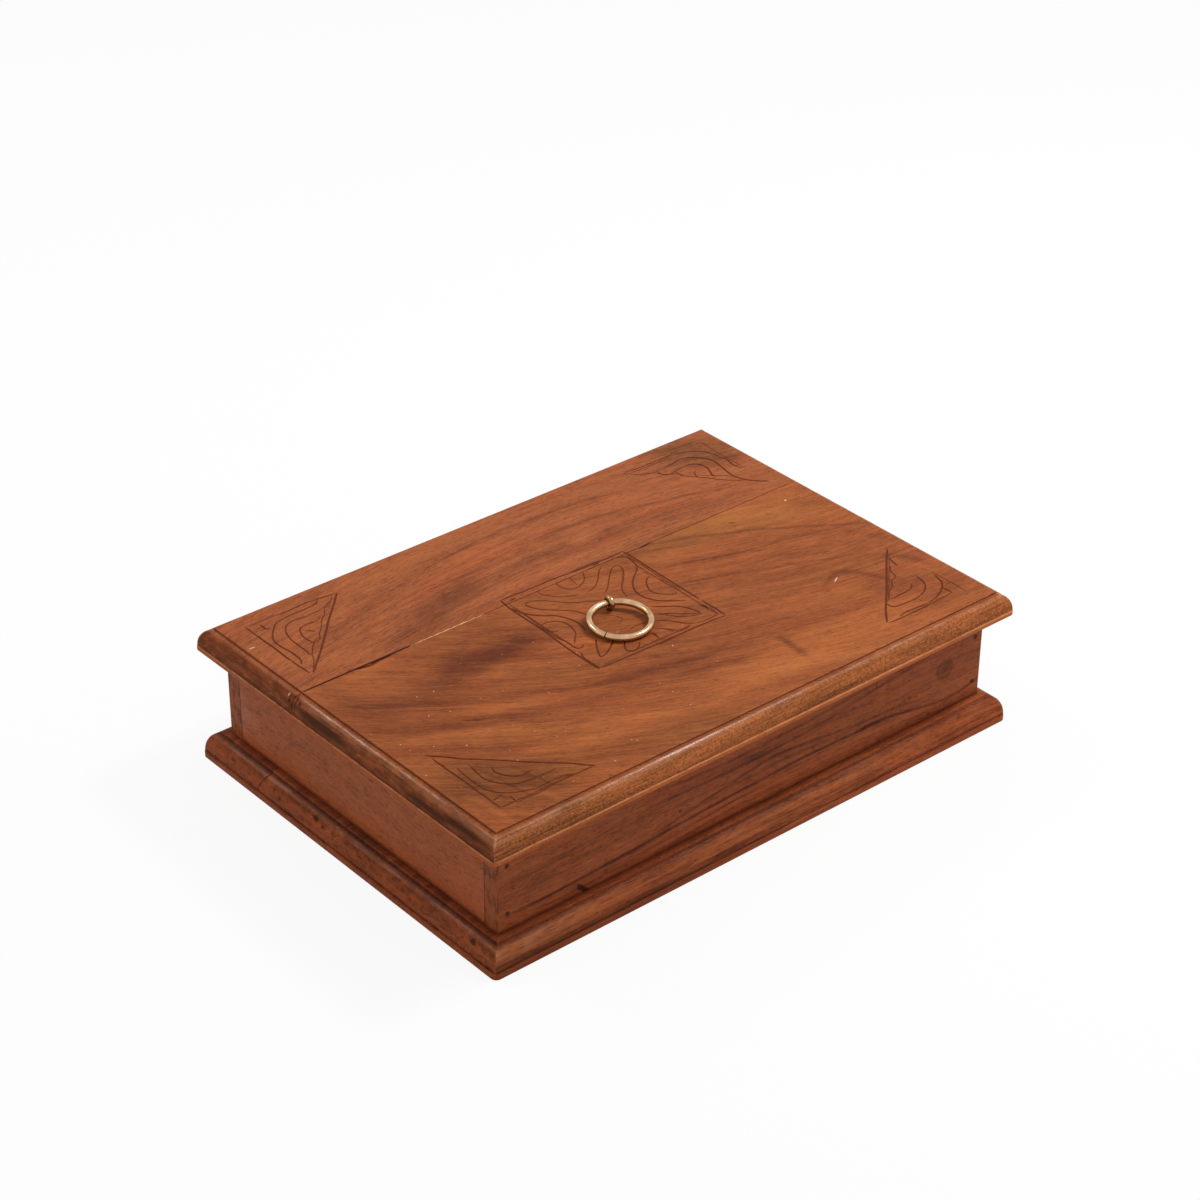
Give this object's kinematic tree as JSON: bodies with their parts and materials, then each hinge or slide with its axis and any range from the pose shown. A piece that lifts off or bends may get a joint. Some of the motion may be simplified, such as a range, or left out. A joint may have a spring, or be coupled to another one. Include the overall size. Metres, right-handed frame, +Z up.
{
  "type": "wooden storage box",
  "caption": "Low rectangular wooden box with moulded base and lift-off lid, lid carved with traditional line ornament and fitted with a brass pull ring in a split pin.",
  "frame": {"origin": "middle of the underside of the base", "axes": "+X along the long sides, +Y from the front wall to the back wall, +Z up through the lid"},
  "size_m": [0.305, 0.215, 0.0766],
  "materials": {
    "base_wood": "glossy varnish over red-brown hardwood",
    "wall_wood": "glossy varnish over red-brown hardwood",
    "lid_wood": "glossy varnish over orange-brown hardwood",
    "batten_wood": "bare sawn hardwood",
    "nail_iron": "dark iron wire nails",
    "aged_brass": "smooth aged brass"
  },
  "bodies": {
    "case": {"base_front_board": "base_wood", "base_rear_board": "base_wood", "wall_front": "wall_wood", "wall_back": "wall_wood", "wall_left": "wall_wood", "wall_right": "wall_wood", "corner_nails_front": "nail_iron", "corner_nails_back": "nail_iron", "base_nails": "nail_iron"},
    "lid": {"lid_front_board": "lid_wood", "lid_rear_board": "lid_wood", "lid_batten_left": "batten_wood", "lid_batten_right": "batten_wood", "batten_nails_left": "nail_iron", "batten_nails_right": "nail_iron", "split_pin": "aged_brass"},
    "ring": {"pull_ring": "aged_brass"}
  },
  "joints": [
    {"name": "lid_lift", "type": "slide", "parent": "case", "child": "lid", "axis": [0, 0, 1], "range_m": [0, 0.08]},
    {"name": "ring_swing", "type": "hinge", "parent": "lid", "child": "ring", "pos_m": [0, 0, 0.0731], "axis": [-0.9397, 0.342, 0], "range_deg": [0, 172]}
  ]
}
